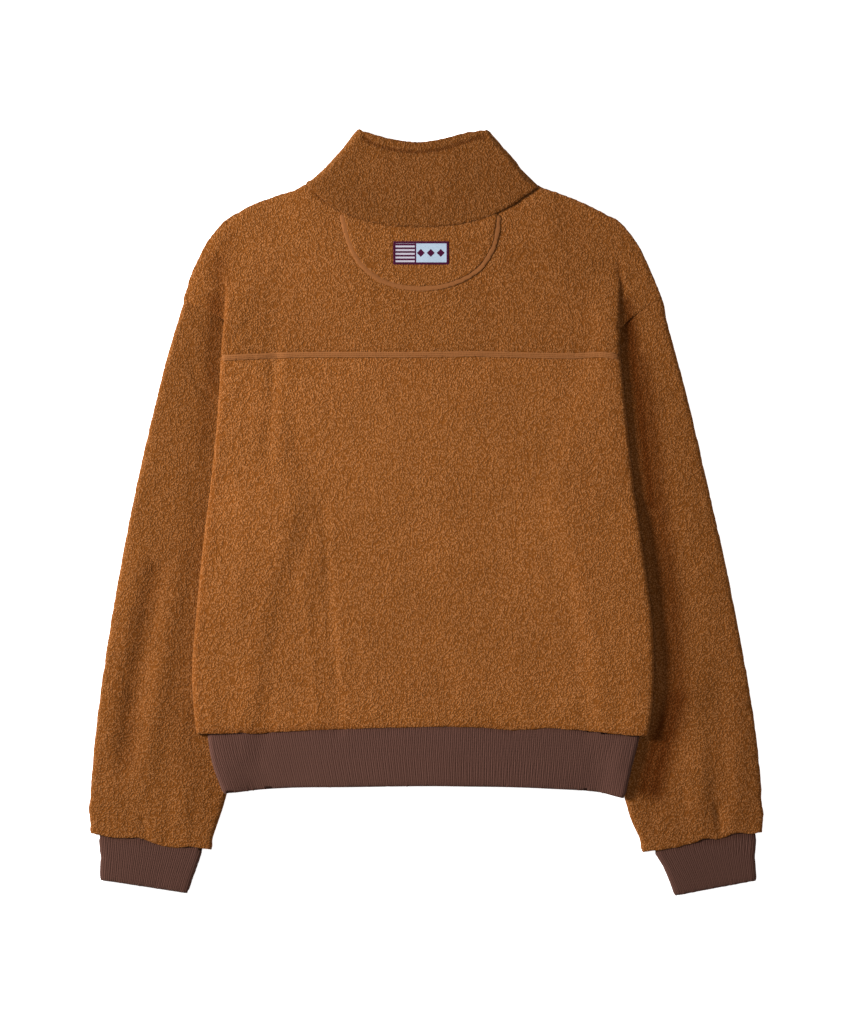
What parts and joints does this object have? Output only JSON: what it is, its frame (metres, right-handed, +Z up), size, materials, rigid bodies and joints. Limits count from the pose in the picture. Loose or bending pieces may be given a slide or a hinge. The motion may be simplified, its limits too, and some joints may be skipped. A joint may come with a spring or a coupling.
{
  "type": "fleece zip-up jacket",
  "caption": "Fleece zip-up jacket laid face down and flat, with a stand collar, a back yoke, ribbed cuffs and a ribbed hem band.",
  "frame": {"origin": "on the table, under the middle of the jacket's outline", "axes": "+Z up from the table and out of the back of the jacket, +Y from the hem towards the collar, +X to the right seen from above"},
  "size_m": [0.7035, 0.7985, 0.0162],
  "materials": {
    "fleece": "short curly pile fleece, caramel brown",
    "rib_knit": "fine vertical rib knit, dark brown",
    "seam_tape": "smooth narrow tan tape",
    "woven_label": "woven label, pale blue grey with a maroon edge",
    "zip_tape": "woven zip tape, dark brown",
    "zip_teeth": "moulded zip teeth, dark brown",
    "zip_metal": "satin metal"
  },
  "bodies": {
    "jacket": {"back_yoke": "fleece", "back_panel": "fleece", "front_left": "fleece", "front_right": "fleece", "sleeve_left": "fleece", "sleeve_right": "fleece", "collar": "fleece", "half_moon": "fleece", "half_moon_welt": "seam_tape", "yoke_welt": "seam_tape", "label": "woven_label", "cuff_left": "rib_knit", "cuff_right": "rib_knit", "hem_band": "rib_knit", "zip_tape_left": "zip_tape", "zip_tape_right": "zip_tape", "zip_chain": "zip_teeth", "zip_slider": "zip_metal"},
    "zip_pull": {"zip_pull": "zip_metal"}
  },
  "joints": [
    {"name": "pull_swing", "type": "hinge", "parent": "jacket", "child": "zip_pull", "pos_m": [0, 0.318, 0.0009], "axis": [1, 0, 0], "range_deg": [0, 150]}
  ]
}
